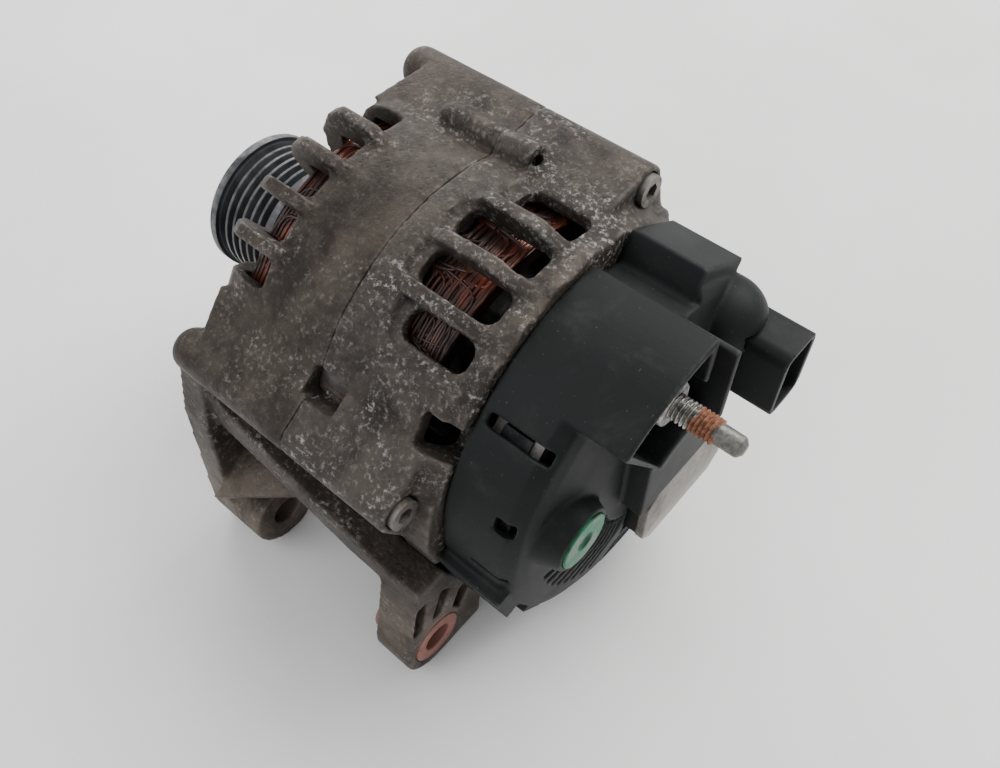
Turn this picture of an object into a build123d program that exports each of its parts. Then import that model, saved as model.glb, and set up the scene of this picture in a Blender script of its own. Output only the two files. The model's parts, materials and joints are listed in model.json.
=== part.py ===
"""Compact car alternator, built as the pieces it comes apart into.

Frame: millimetres, +Z up.  The origin is on the shaft axis, in the middle of the belt track.
+X runs along the shaft from the pulley to the output stud, +Y across, +Z up.
Angles are measured round the shaft from +Z towards -Y, so angle 90 points along -Y.
"""
from build123d import *
import os
from math import cos, radians, sin

# ---------------------------------------------------------------- driving dimensions
# housing
SHELL_R = 62.2              # outside of both end brackets
CORE_R = 58.3               # seat of the stator core in the brackets
CAVITY_R = 56.8             # inside of the brackets past the core
FRONT_X = 30.0              # front face of the drive end bracket
SPLIT_X = 78.0              # where the two brackets meet
REAR_X = 124.0              # rear face of the rear bracket
RIB_WIDTH = 4.2
RIB_R = 65.2                # crest of the cooling ribs

# through bolts
BOLT_PITCH_R = 67.0
BOLT_ANGLES = (-33, 78, 147, -102)
BOLT_R = 3.0
BOSS_R = 7.0
BOLT_HEAD_X = 113.0
BOLT_HEAD_R = 4.8
BOLT_HEAD_LENGTH = 6.0
BOLT_TIP_X = 42.0
# mass that carries each boss into the shell: half width and radius at its base and at its crest
SKIRT_BASE = (21.0, 57.0)
SKIRT_CREST = (4.6, 72.2)

# mounting ears, both on one axis
EAR_Y = -65.0
EAR_Z = -58.0
EAR_R = 13.0
EAR_BORE_R = 5.25
FRONT_EAR_X = (30.0, 54.0)
REAR_EAR_X = (110.0, 125.0)
BUSH_R = 9.3
BUSH_BORE_R = 5.1
BUSH_LENGTH = 19.0

# stator and rotor
CORE_X = (54.0, 88.0)
CORE_BORE_R = 46.0
ROTOR_R = 45.6
SLOTS = 36
SLOT_WIDTH = 4.0
SLOT_R = 54.5
FRONT_TURNS_X = 38.0
REAR_TURNS_X = 108.0
TURNS_R = (47.5, 55.5)
CLAWS = 6
POLE_X = (55.0, 87.0)
POLE_DISC = 8.0
HUB_R = 22.0

# shaft line
RETAINER_PITCH_R = 26.5
SHAFT_R = 8.5
SHAFT_TIP_X = -14.0
FRONT_BEARING_X = 31.0
REAR_BEARING_X = 108.0
# bearing: width, outer radius, outer race bore, inner race radius, ball radius, ball count
FRONT_BEARING = (14.0, 23.5, 19.6, 12.6, 3.4, 8)
REAR_BEARING = (10.0, 17.5, 14.8, 11.0, 1.8, 11)
RING_X = (128.0, 138.0)
RING_WIDTH = 6.0
RING_R = 8.0
SLEEVE_R = 6.6
TAIL_R = 5.0
TAIL_X = 147.0

# pulley
PULLEY_X = (-14.0, 18.0)
PULLEY_LIP = 0.5
PULLEY_R = 25.0
GROOVES = 6
GROOVE_PITCH = 3.56
GROOVE_DEPTH = 2.9

# rear cover
COVER_R = 58.0
COVER_WALL = 2.2
COVER_X = 124.5
COVER_FLOOR_X = 150.0
DOME_REAR_X = 163.0
PLUG_Y, PLUG_Z = -38.7, 9.2
PLUG_R = 8.7
PLUG_X = (155.0, 158.0)

# output stud
STUD_Y, STUD_Z = -5.7, 36.5
STUD_R = 3.95
STUD_SHANK_R = 3.6
STUD_X = (134.0, 180.0)
THREAD_X = (160.0, 172.0)
NUT_X = (153.0, 159.0)
NUT_FLATS = 13.0

# brushes
BRUSH_LENGTH = 12.0
BRUSH_SECTION = (4.6, 6.4)
BRUSH_GAP = 0.05
CHANNEL_END_Y = 31.0

# connector socket and regulator plate
SOCKET_X = (150.5, 173.5)
SOCKET_Y = (27.0, 43.5)
SOCKET_Z = (8.0, 34.0)
SOCKET_WALL = 2.0
PLATE_X = (157.0, 160.0)
PLATE_Y = (-8.0, 35.0)
PLATE_Z = (-36.0, -9.0)


# ---------------------------------------------------------------- shape helpers
def place(radius, angle):
    """Y and Z of a point at this radius and angle round the shaft."""
    return -radius * sin(radians(angle)), radius * cos(radians(angle))


def rod(x0, x1, radius, y=0.0, z=0.0):
    """Round bar along the shaft direction."""
    bar = Cylinder(radius, x1 - x0, align=(Align.CENTER, Align.CENTER, Align.MIN))
    return Pos(x0, y, z) * Rot(0, 90, 0) * bar


def ring(x0, x1, outer, inner, y=0.0, z=0.0):
    """Tube along the shaft direction."""
    return rod(x0, x1, outer, y, z) - rod(x0 - 1, x1 + 1, inner, y, z)


def block(x, y, z):
    """Box from three (low, high) pairs."""
    box = Box(x[1] - x[0], y[1] - y[0], z[1] - z[0], align=Align.MIN)
    return Pos(x[0], y[0], z[0]) * box


def spoke(x0, x1, r0, r1, width, angle):
    """Radial bar at an angle round the shaft."""
    return Rot(angle, 0, 0) * block((x0, x1), (-width / 2, width / 2), (r0, r1))


def turned(points):
    """Solid of revolution about the shaft from (x, radius) points."""
    return revolve(make_face(Polyline(*points, close=True)), Axis.X)


def fin(points, width, angle):
    """Flat fin drawn as (x, radius) points, standing at an angle round the shaft."""
    face = Plane.XZ * make_face(Polyline(*points, close=True))
    return Rot(angle, 0, 0) * extrude(face, width / 2, both=True)


def section(points, x0, x1):
    """Outline in Y and Z, carried from x0 to x1."""
    face = Plane.YZ * make_face(Polyline(*points, close=True))
    return Pos(x0, 0, 0) * extrude(face, x1 - x0)


def wedge(x0, x1, angle0, angle1, reach=95.0, step=30.0):
    """Pie slice between two angles."""
    count = int((angle1 - angle0) / step) + 1
    rim = [place(reach, angle0 + (angle1 - angle0) * i / count) for i in range(count + 1)]
    return section([(0, 0)] + rim, x0, x1)


def window(x0, x1, width, angle, r0, r1, corner=3.0):
    """Radial cutter with rounded corners."""
    outline = RectangleRounded(x1 - x0, width, corner)
    cutter = Pos((x0 + x1) / 2, 0, r0) * extrude(outline, r1 - r0)
    return Rot(angle, 0, 0) * cutter


def hexagon(x0, x1, flats, y=0.0, z=0.0):
    """Hexagonal bar along the shaft direction."""
    outline = Plane.YZ * RegularPolygon(flats / 2, 6, major_radius=False)
    return Pos(x0, y, z) * extrude(outline, x1 - x0)


def boss_skirt(x0, x1, angle, extra=0.0):
    """Cast mass with sloping flanks between a boss and the shell."""
    base, base_r = SKIRT_BASE
    crest, crest_r = SKIRT_CREST[0] + extra, SKIRT_CREST[1] + extra
    base += 2 * extra
    outline = [(-base, base_r), (-crest, crest_r), (crest, crest_r), (base, base_r)]
    return Rot(angle, 0, 0) * section(outline, x0, x1)


def nose_slope(x0, x1):
    """Round envelope that rises from the shell to the crest of the bosses."""
    low, high = SKIRT_BASE[1] + 1, SKIRT_CREST[1] + 2
    return turned([(x0, 0), (x0, low), (x0 + 7, high), (x1, high), (x1, 0)])


def bolt_bosses(x0, x1, nose=0.0):
    """Bosses for the through bolts, with an optional rounded nose at the low end."""
    bosses = []
    for angle in BOLT_ANGLES:
        y, z = place(BOLT_PITCH_R, angle)
        bosses.append(rod(x0 + nose, x1, BOSS_R, y, z))
        bosses.append(spoke(x0 + nose + 2, x1, BOLT_PITCH_R - 8, BOLT_PITCH_R, 2 * BOSS_R - 0.4, angle))
        skirt = boss_skirt(x0 + nose, x1, angle)
        bosses.append(skirt & nose_slope(x0 + nose, x1) if nose else skirt)
        if nose:
            bosses.append(Pos(x0 + nose, y, z) * scale(Sphere(BOSS_R), (nose / BOSS_R, 1, 1)))
    return bosses


def bolt_holes(x0, x1, clearance=0.1):
    return [rod(x0, x1, BOLT_R + clearance, *place(BOLT_PITCH_R, a)) for a in BOLT_ANGLES]


# ---------------------------------------------------------------- housing
# windows round the front shoulder and the ribs between them
FRONT_RIBS = (1.0, 14.2, 27.6, 41.2)
FRONT_WINDOWS = (-6.0, 7.6, 20.9, 34.4, 48.0,
                 -54.0, -67.0, -80.0,
                 -122.0, -135.0, -148.0, -161.0, -174.0, 173.0)
# rear windows: angle, front end, width
REAR_WINDOWS = ((-7.5, 96.0, 13.0), (7.8, 89.6, 12.0), (22.3, 90.0, 11.0), (36.8, 95.0, 9.5),
                (-52.0, 95.0, 11.0), (-66.0, 91.0, 12.0), (-81.0, 95.0, 11.0),
                (-122.0, 95.0, 11.0), (-136.0, 91.0, 12.0), (-150.0, 90.0, 12.0),
                (-164.0, 91.0, 12.0), (-178.0, 95.0, 11.0))
REAR_RIBS = (0.3, 15.2, 29.8, -59.0, -73.5, -129.0, -143.0, -157.0, -171.0)
FRONT_WINDOW_END_X = 50.0
REAR_WINDOW_END_X = 116.5


def mounting_flange():
    """Rail along one side of the drive end bracket, with an ear at each end."""
    rail_top = [(30, 16.5), (48, 2), (70, -6.5), (95, -14), (110, -19), (125, -19)]
    rail_face = Plane.XZ * make_face(Polyline(*rail_top, (125, -29), (95, -25), (48, -12), (30, -8), close=True))
    rail = Pos(0, -50, 0) * extrude(rail_face, 21)
    ear_outline = [(-45, 16.5), (-69.5, 16.5), (-75, -8), (-78, EAR_Z), (-54, EAR_Z - 2), (-44, -42), (-40, -30)]
    front_ear = section(ear_outline, FRONT_EAR_X[0], 41)
    front_ear += rod(*FRONT_EAR_X, EAR_R, EAR_Y, EAR_Z)
    gusset = fin([(41, 58), (72, 58), (72, 70), (41, 92)], 5, 118)
    rear_outline = [(-52, -19), (-70, -19), (-78, EAR_Z), (EAR_Y, EAR_Z - EAR_R), (-45, -70), (-42, -46)]
    rear_ear = section(rear_outline, *REAR_EAR_X)
    rear_ear += rod(*REAR_EAR_X, EAR_R, EAR_Y, EAR_Z)
    for pocket in ([(-70, -25), (-66, -25), (-70, -44), (-74.5, -44)],
                   [(-61, -31), (-57, -35), (-62, -45), (-66, -44)],
                   [(-53, -40), (-48, -45), (-54, -54), (-57, -49)]):
        rear_ear -= section(pocket, REAR_EAR_X[1] - 7, REAR_EAR_X[1] + 1)
    flange = rail + front_ear + gusset + rear_ear
    flange -= rod(SPLIT_X, REAR_EAR_X[1] + 1, SHELL_R + 0.3)
    flange -= rod(FRONT_X - 5, SPLIT_X + 1, CORE_R + 1.5)
    flange -= rod(FRONT_X - 1, FRONT_EAR_X[1] + 1, EAR_BORE_R, EAR_Y, EAR_Z)
    flange -= rod(REAR_EAR_X[0] - 1, REAR_EAR_X[1] + 1, BUSH_R + 0.05, EAR_Y, EAR_Z)
    for angle in (147, 78):
        flange -= rod(SPLIT_X, REAR_EAR_X[1] + 1, BOSS_R + 0.4, *place(BOLT_PITCH_R, angle))
        flange -= boss_skirt(SPLIT_X, REAR_EAR_X[1] + 1, angle, 0.3)
    return flange


def drive_end_bracket():
    body = turned([(29, 14), (29, 30), (30, 50), (33, 57), (37, 60.5), (42, SHELL_R), (SPLIT_X, SHELL_R),
                   (SPLIT_X, CORE_R), (CORE_X[0], CORE_R), (CORE_X[0], CAVITY_R), (37.2, 56.2),
                   (37.2, 48), (34, 44), (34, 30), (45, 30), (45, 23.5), (31, 23.5), (31, 14)])
    body += bolt_bosses(27, SPLIT_X, nose=6)
    body += rod(60, SPLIT_X, 4.6, *place(64.0, -20)) + Pos(60, *place(64.0, -20)) * Sphere(4.6)
    for angle in FRONT_RIBS + tuple((a + b) / 2 for a, b in zip(FRONT_WINDOWS[5:], FRONT_WINDOWS[6:])
                                    if abs(a - b) < 20):
        body += fin([(28.5, 34), (28.5, 55), (33, 62.5), (37, RIB_R), (50, RIB_R), (57, 61), (57, 58.6),
                     (41, 58), (34.5, 50), (34, 34)], RIB_WIDTH, angle)
    body += mounting_flange()
    for angle in FRONT_WINDOWS:
        body -= window(25, FRONT_WINDOW_END_X, 9.6, angle, 36, 75, 2.5)
    # clear the inside again
    body -= turned([(37.2, 46), (37.2, 56.2), (CORE_X[0], CAVITY_R), (CORE_X[0], CORE_R),
                    (SPLIT_X + 1, CORE_R), (SPLIT_X + 1, 0), (45, 0), (45, 30.5), (34.1, 30.5), (34.1, 40)])
    body -= bolt_holes(BOLT_TIP_X - 3, SPLIT_X + 1, 0.0)
    body -= [rod(36, 46, 2.0, *place(RETAINER_PITCH_R, a)) for a in (0, 120, 240)]
    # stepped window in the flank, beside the boss at the split
    body -= window(SPLIT_X - 2, SPLIT_X + 2, 9.0, 64, 55, 70, 0.5)
    return body


def rear_bracket():
    body = turned([(SPLIT_X, SHELL_R), (118, SHELL_R), (REAR_X, 59.6), (REAR_X, 10), (118, 10), (118, 17.5),
                   (104, 17.5), (104, 23), (117, 23), (117, 52), (113, CAVITY_R), (CORE_X[1], CAVITY_R),
                   (CORE_X[1], CORE_R), (SPLIT_X, CORE_R)])
    # shallow recess that frames each window
    for angle, x0, width in REAR_WINDOWS:
        body -= window(x0 - 4, 130, width + 5.5, angle, SHELL_R - 1.5, 75, 5)
    for angle in REAR_RIBS:
        body += fin([(86, 60.2), (91, 64.6), (109, 65.0), (119, 61), (119, 56), (113, 56.2), (86, 58.6)],
                    4.6, angle)
    # rounded lobes along the rear edge
    for angle in list(range(-16, 62, 13)) + list(range(-180, -44, 14)):
        y, z = place(56.0, angle)
        body += rod(117.5, REAR_X, 5.2, y, z)
    body += bolt_bosses(SPLIT_X, BOLT_HEAD_X + 4.5)
    body += rod(SPLIT_X, 90, 4.8, *place(64.0, -20))
    # lug below the lower left bolt
    body += section([(-49, 18), (-61, 15), (-64, -4), (-61, -16), (-50, -22)], 112, 123.5)
    body += rod(100, 121, 6.5, *place(57.0, -44)) + rod(100, 118, 6.5, *place(57.0, 64))
    for angle, x0, width in REAR_WINDOWS:
        body -= window(x0, REAR_WINDOW_END_X, width, angle, 40, 75, 3.5)
    # opening in the rim beside the cover's corner
    body -= window(112.5, REAR_X + 2, 11, 57, 48, 75, 1)
    # air slots through the rear wall
    for angle in range(0, 360, 24):
        body -= spoke(114, REAR_X + 1, 27, 50, 6.5, angle)
    body -= turned([(SPLIT_X - 1, 0), (SPLIT_X - 1, CORE_R), (CORE_X[1], CORE_R), (CORE_X[1], CAVITY_R),
                    (113, CAVITY_R), (117, 52), (117, 23.2), (103.5, 23.2), (103.5, 0)])
    body -= bolt_holes(SPLIT_X - 1, BOLT_HEAD_X + 1)
    body -= rod(80, 91, 2.1, *place(64.0, -20))
    body -= window(SPLIT_X - 2, SPLIT_X + 10, 9.0, 64, 58.5, 70, 0.5)
    body -= [rod(BOLT_HEAD_X, 130, BOLT_HEAD_R + 0.4, *place(BOLT_PITCH_R, a)) for a in BOLT_ANGLES]
    return body


def through_bolts():
    bolts = []
    for angle in BOLT_ANGLES:
        y, z = place(BOLT_PITCH_R, angle)
        head = rod(BOLT_HEAD_X, BOLT_HEAD_X + BOLT_HEAD_LENGTH, BOLT_HEAD_R, y, z)
        head -= hexagon(BOLT_HEAD_X + 3, BOLT_HEAD_X + BOLT_HEAD_LENGTH + 1, 4.5, y, z)
        bolts.append(head + rod(BOLT_TIP_X, BOLT_HEAD_X, BOLT_R, y, z))
    return Compound(children=bolts)


def mount_bushing():
    end = REAR_EAR_X[1]
    return ring(end - BUSH_LENGTH, end, BUSH_R, BUSH_BORE_R, EAR_Y, EAR_Z)


# ---------------------------------------------------------------- stator and rotor
def stator_core():
    core = ring(*CORE_X, CORE_R - 0.05, CORE_BORE_R)
    step = 360 / SLOTS
    return core - [spoke(50, 92, 44, SLOT_R, SLOT_WIDTH, i * step) for i in range(SLOTS)]


def stator_windings():
    turns = ring(FRONT_TURNS_X, CORE_X[0], TURNS_R[1], TURNS_R[0])
    turns += ring(CORE_X[1], REAR_TURNS_X, TURNS_R[1], TURNS_R[0])
    step = 360 / SLOTS
    bars = [spoke(CORE_X[0] - 1, CORE_X[1] + 1, TURNS_R[0] + 0.4, SLOT_R - 0.1, SLOT_WIDTH - 0.2, i * step)
            for i in range(SLOTS)]
    return turns + bars


def rotor_shaft():
    return turned([(SHAFT_TIP_X, 0), (SHAFT_TIP_X, 7), (SHAFT_TIP_X + 1, 8), (-2, 8), (-2, SHAFT_R),
                   (45, SHAFT_R), (45, 10.5), (53.5, 10.5), (53.5, 9), (88.5, 9), (88.5, 10.5),
                   (REAR_BEARING_X, 10.5), (REAR_BEARING_X, SHAFT_R), (118, SHAFT_R), (118, TAIL_R),
                   (TAIL_X, TAIL_R), (TAIL_X, 0)])


def claw_pole(front):
    """One half of the rotor: a disc, a hub and the claws that reach over the coil."""
    low, high = POLE_X
    middle = (low + high) / 2
    pole = ring(low, low + POLE_DISC, 38, 9) + ring(low, middle, HUB_R, 9)
    finger_zone = turned([(low, 30), (low, ROTOR_R), (high - 1, ROTOR_R), (high - 1, 42),
                          (low + POLE_DISC, 36.2), (low + POLE_DISC, 30)])
    finger_face = make_face(Polyline((low, -9), (low, 9), (high - 1, 4.5), (high - 1, -4.5), close=True))
    finger = Pos(0, 0, 28) * extrude(finger_face, 20)
    for i in range(CLAWS):
        pole += (Rot(i * 360 / CLAWS, 0, 0) * finger) & finger_zone
    if not front:
        pole = Rot(180 / CLAWS, 0, 0) * mirror(pole, Plane.YZ.offset(middle))
    return pole


def coil_bobbin():
    x0, x1 = POLE_X[0] + POLE_DISC, POLE_X[1] - POLE_DISC
    return ring(x0, x1, 23.5, HUB_R) + ring(x0, x0 + 1.2, 35.5, HUB_R) + ring(x1 - 1.2, x1, 35.5, HUB_R)


def field_coil():
    return ring(POLE_X[0] + POLE_DISC + 1.2, POLE_X[1] - POLE_DISC - 1.2, 35.0, 23.5)


def fan(face_x, towards, blades):
    """Pressed fan: a disc against the claw pole and blades that point away from it."""
    disc = ring(min(face_x, face_x + 1.5 * towards), max(face_x, face_x + 1.5 * towards), 41, 9)
    ends = sorted((face_x + 0.5 * towards, face_x + 9.5 * towards))
    for i in range(blades):
        blade = block(ends, (-0.8, 0.8), (-6.5, 6.5))
        disc += Rot(i * 360 / blades, 0, 0) * Pos(0, 0, 36) * Rot(35 * towards, 0, 0) * blade
    return disc


def bearing(x0, dims):
    """Deep groove ball bearing as its five pieces."""
    width, outer_r, outer_bore, inner_r, ball_r, count = dims
    middle = x0 + width / 2
    pitch_r = (outer_bore + inner_r) / 2
    balls = [Pos(middle, *place(pitch_r, i * 360 / count)) * Sphere(ball_r) for i in range(count)]
    half = ball_r + 0.9
    cage = ring(middle - half, middle + half, pitch_r + 0.9, pitch_r - 0.9)
    cage -= [Pos(middle, *place(pitch_r, i * 360 / count)) * Sphere(ball_r + 0.05) for i in range(count)]
    seals = [ring(x0 + s, x0 + s + 0.6, outer_bore, inner_r + 0.3) for s in (0.5, width - 1.1)]
    return {"outer_race": ring(x0, x0 + width, outer_r, outer_bore),
            "inner_race": ring(x0, x0 + width, inner_r, SHAFT_R),
            "balls": Compound(children=balls),
            "cage": cage,
            "seals": Compound(children=seals)}


def bearing_retainer():
    plate = ring(45, 47, 30, 15)
    return plate - [rod(44, 48, 2.2, *place(RETAINER_PITCH_R, a)) for a in (0, 120, 240)]


def retainer_screws():
    screws = []
    for angle in (0, 120, 240):
        y, z = place(RETAINER_PITCH_R, angle)
        screws.append(rod(37, 47, 2.0, y, z) + rod(47, 49.0, 3.2, y, z))
    return Compound(children=screws)


def shaft_spacer():
    return ring(PULLEY_X[1], FRONT_BEARING_X, 12.0, SHAFT_R)


def pulley():
    x0, x1 = PULLEY_X
    first = -GROOVES * GROOVE_PITCH / 2
    profile = [(x0, 18), (x0, PULLEY_R), (first - PULLEY_LIP, PULLEY_R),
               (first - PULLEY_LIP, PULLEY_R - 1.2)]
    for i in range(GROOVES):
        start = first + i * GROOVE_PITCH
        profile += [(start + 0.5, PULLEY_R - 1.2), (start + GROOVE_PITCH / 2, PULLEY_R - 1.2 - GROOVE_DEPTH),
                    (start + GROOVE_PITCH - 0.5, PULLEY_R - 1.2)]
    last = -first
    profile += [(last + PULLEY_LIP, PULLEY_R - 1.2), (last + PULLEY_LIP, PULLEY_R), (x1 - 4, PULLEY_R),
                (x1 - 4, 17), (x1, 14),
                (x1, SHAFT_R), (-2, SHAFT_R), (-2, 18)]
    return turned(profile)


def pulley_nut():
    nut = hexagon(-12, -2, 24) & turned([(-12, 0), (-12, 12.4), (-10.5, 14), (-2, 14), (-2, 0)])
    return nut - rod(-20, 0, 8.0)


def slip_rings():
    return Compound(children=[ring(x, x + RING_WIDTH, RING_R, SLEEVE_R) for x in RING_X])


def slip_ring_sleeve():
    return ring(118.2, TAIL_X, SLEEVE_R, TAIL_R)


# ---------------------------------------------------------------- electrical end
DIODE_ANGLES = (75, 110, 145)
DIODE_PITCH_R = 39.0
DIODE_R = 6.4
NEGATIVE_X = (127.0, 130.0)
POSITIVE_X = (139.0, 142.0)
RECTIFIER_SCREW_ANGLES = (56, 92.5, 127.5)


def heat_sink(x, angles, outer):
    """Crescent plate with diode and screw holes."""
    plate = ring(*x, outer, 23) & wedge(x[0], x[1], *angles)
    plate -= [rod(x[0] - 1, x[1] + 1, DIODE_R, *place(DIODE_PITCH_R, a)) for a in DIODE_ANGLES]
    plate -= [rod(x[0] - 1, x[1] + 1, 2.2, *place(48.0, a)) for a in RECTIFIER_SCREW_ANGLES]
    return plate


def rectifier_heatsink_positive():
    plate = heat_sink(POSITIVE_X, (1, 160), 52)
    return plate - rod(130, 150, STUD_R + 0.1, STUD_Y, STUD_Z)


def rectifier_heatsink_negative():
    return heat_sink(NEGATIVE_X, (45, 160), 52)


def diodes(x):
    """Press-in diodes: a round can and a lead wire."""
    cans = []
    for angle in DIODE_ANGLES:
        y, z = place(DIODE_PITCH_R, angle)
        cans.append(rod(x[0], x[1] + 1.5, DIODE_R, y, z) + rod(x[1] + 1, x[1] + 4, 0.8, y, z))
    return Compound(children=cans)


def rectifier_carrier():
    """Plastic carrier that spaces the two heat sinks."""
    carrier = ring(NEGATIVE_X[1], POSITIVE_X[0], 53, 46.5) & wedge(130, 139, 46, 159)
    return carrier - [rod(126, 140, 2.2, *place(48.0, a)) for a in RECTIFIER_SCREW_ANGLES]


def rectifier_screws():
    screws = []
    for angle in RECTIFIER_SCREW_ANGLES:
        y, z = place(48.0, angle)
        screws.append(rod(NEGATIVE_X[0], POSITIVE_X[1], 2.0, y, z) + rod(POSITIVE_X[1], 144.5, 3.6, y, z))
    return Compound(children=screws)


def regulator_housing():
    """One moulding: brush holder, regulator box and connector socket."""
    channel_z = BRUSH_SECTION[1] / 2 + BRUSH_GAP
    body = block((125.5, 147.5), (9.5, 33), (-8, 8))
    body += block((130, PLATE_X[0]), (-6, 33), (-34, -11))
    body += block((130, 147), (21, 33), (-12, -6))
    body += block((132, 147), (26, 33), (0, 20)) + block((132, SOCKET_X[0] + 1), (26, 38), SOCKET_Z)
    for x in RING_X:
        middle = x + RING_WIDTH / 2
        half = BRUSH_SECTION[0] / 2 + BRUSH_GAP
        body -= block((middle - half, middle + half), (5, CHANNEL_END_Y), (-channel_z, channel_z))
    tube = block(SOCKET_X, SOCKET_Y, SOCKET_Z)
    tube = fillet(tube.edges().filter_by(Axis.X), 4)
    body += tube
    w = SOCKET_WALL
    cavity = block((SOCKET_X[0] + 5, SOCKET_X[1] + 1), (SOCKET_Y[0] + w, SOCKET_Y[1] - w),
                   (SOCKET_Z[0] + w, SOCKET_Z[1] - w))
    body -= fillet(cavity.edges().filter_by(Axis.X), 2)
    return body


def connector_pins():
    pins = []
    for i in range(4):
        z = SOCKET_Z[0] + 5.3 + i * 5.1
        pins.append(block((SOCKET_X[0] + 5, SOCKET_X[1] - 8), (35.6, 36.4), (z - 1.4, z + 1.4)))
    return Compound(children=pins)


def regulator_plate():
    plate = block(PLATE_X, PLATE_Y, PLATE_Z)
    return chamfer(plate.edges().filter_by(Axis.X), 5)


def brush(x):
    middle = x + RING_WIDTH / 2
    w, h = BRUSH_SECTION
    body = block((middle - w / 2, middle + w / 2), (4, RING_R + BRUSH_LENGTH), (-h / 2, h / 2))
    return body - rod(middle - w, middle + w, RING_R + BRUSH_GAP)


def brush_spring(x):
    middle = x + RING_WIDTH / 2
    start = RING_R + BRUSH_LENGTH
    length = CHANNEL_END_Y - start
    wire, radius, turns = 0.4, 1.75, 6
    path = Helix((length - 2 * wire) / turns, length - 2 * wire, radius)
    profile = (path ^ 0) * Circle(wire / 2)
    coil = sweep(profile, path, is_frenet=True)
    return Pos(middle, start + wire, 0) * Rot(-90, 0, 0) * coil


def stud():
    """Output stud: hexagon head, thread core and a smooth pilot tip."""
    body = hexagon(STUD_X[0], POSITIVE_X[0], 11, STUD_Y, STUD_Z)
    body += rod(STUD_X[0] + 1, THREAD_X[0], STUD_SHANK_R, STUD_Y, STUD_Z)
    body += rod(*THREAD_X, STUD_R, STUD_Y, STUD_Z)
    tip = turned([(171, 0), (171, 3.1), (178.6, 3.1), (STUD_X[1], 1.6), (STUD_X[1], 0)])
    return body + Pos(0, STUD_Y, STUD_Z) * tip


def stud_nut():
    nut = hexagon(*NUT_X, NUT_FLATS) & turned([(NUT_X[0], 0), (NUT_X[0], 7.5), (NUT_X[1] - 1, 7.5),
                                               (NUT_X[1], 6.4), (NUT_X[1], 0)])
    return Pos(0, STUD_Y, STUD_Z) * (nut - rod(150, 162, STUD_SHANK_R))


# ---------------------------------------------------------------- rear cover
def cover_shell(inset):
    """Outside of the cover without its openings, or its inside when inset by the wall."""
    r = COVER_R - inset
    x = COVER_FLOOR_X - inset
    return turned([(COVER_X, 0), (COVER_X, r), (x - 6, r), (x - 1.5, r - 2), (x, r - 6), (x + 3.5, 30),
                   (x + 4, 0)])


def rear_cover():
    w = COVER_WALL
    body = cover_shell(0)
    # step down between the dome and the upper right box
    body -= ring(COVER_X - 1, 165, 70, COVER_R - 6) & wedge(120, 166, -18, -3)
    # tall barrel around the output stud, with its flat side walls
    dome = rod(COVER_X, DOME_REAR_X, COVER_R) & wedge(COVER_X, DOME_REAR_X, -3, 36)
    dome -= rod(COVER_X - 1, DOME_REAR_X + 1, 22)
    body += dome
    # raised box and the rounded mound behind it
    body += spoke(COVER_X, 148, 44, 60.5, 25, -30)
    body += rod(COVER_X, 150, 13, *place(44.5, -46)) + Pos(150, *place(44.5, -46)) * Sphere(13)
    # raised housing over the brush gear, beside the stud
    body += block((150, 161), (-15, 22), (-6, 25))
    body += block((150, 167), (6, 8.2), (25, 52))
    # ridge block and clips low on the left and along the bottom
    body += spoke(COVER_X, 147, 50, 61.5, 15, 106)
    body += spoke(COVER_X, 146, 50, 60.5, 12, 133) + spoke(COVER_X, 148, 50, 60.5, 12, 176)
    # cone that carries the plug
    cone = turned([(146, 0), (146, 14), (150, 12.8), (PLUG_X[1] - 0.6, 9.9), (PLUG_X[1] - 0.6, 0)])
    body += Pos(0, PLUG_Y, PLUG_Z) * cone
    # hollow inside
    step_down = ring(COVER_X - 2, 165, 70, COVER_R - 6 - w) & wedge(120, 166, -20, -1)
    inside = cover_shell(w) - step_down
    inside += block((140, 159), (-12.5, 19.5), (-3.5, 22.5))
    inside += spoke(COVER_X - 1, 145.8, 40, 58.3, 20.6, -30)
    inside = inside - Pos(0, PLUG_Y, PLUG_Z) * rod(146, 160, 11)
    body -= Pos(-0.01, 0, 0) * inside
    # pocket for the output stud, open at the rear
    pocket = (rod(COVER_FLOOR_X, 170, COVER_R - w) - rod(COVER_FLOOR_X - 1, 171, 26)) \
        & wedge(COVER_FLOOR_X, 170, 0, 34)
    body -= pocket
    body -= rod(140, 170, 9.3, STUD_Y, STUD_Z)
    # seat of the plug
    body -= rod(PLUG_X[0], 170, PLUG_R + 0.02, PLUG_Y, PLUG_Z)
    body -= rod(140, 170, 5.0, PLUG_Y, PLUG_Z)
    # openings for the connector and the regulator plate
    body -= block((143, 180), (SOCKET_Y[0] - 1.2, SOCKET_Y[1] + 1.2), (SOCKET_Z[0] - 1.2, SOCKET_Z[1] + 1.2))
    body -= block((140, 180), (PLATE_Y[0] - 0.6, PLATE_Y[1] + 0.6), (PLATE_Z[0] - 0.6, PLATE_Z[1] + 0.6))
    # air slots on the rear face and in the flank
    for angle in range(104, 160, 7):
        body -= spoke(140, 165, 22, 47, 2.2, angle)
    for radius in (42, 46, 50):
        arc = ring(140, 165, radius + 1.2, radius - 1.2) & wedge(139, 166, 166, 196)
        body -= arc
    for angle, x0, x1, width in ((46, 127, 147, 4.0), (70, 140, 146, 5.0), (92, 134, 147, 1.6)):
        body -= spoke(x0, x1, 50, 66, width, angle)
    return body


def cover_plug():
    plug = rod(*PLUG_X, PLUG_R, PLUG_Y, PLUG_Z) + rod(151, PLUG_X[0], 4.9, PLUG_Y, PLUG_Z)
    return plug - rod(PLUG_X[1] - 0.8, PLUG_X[1] + 1, 3.0, PLUG_Y, PLUG_Z)


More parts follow.
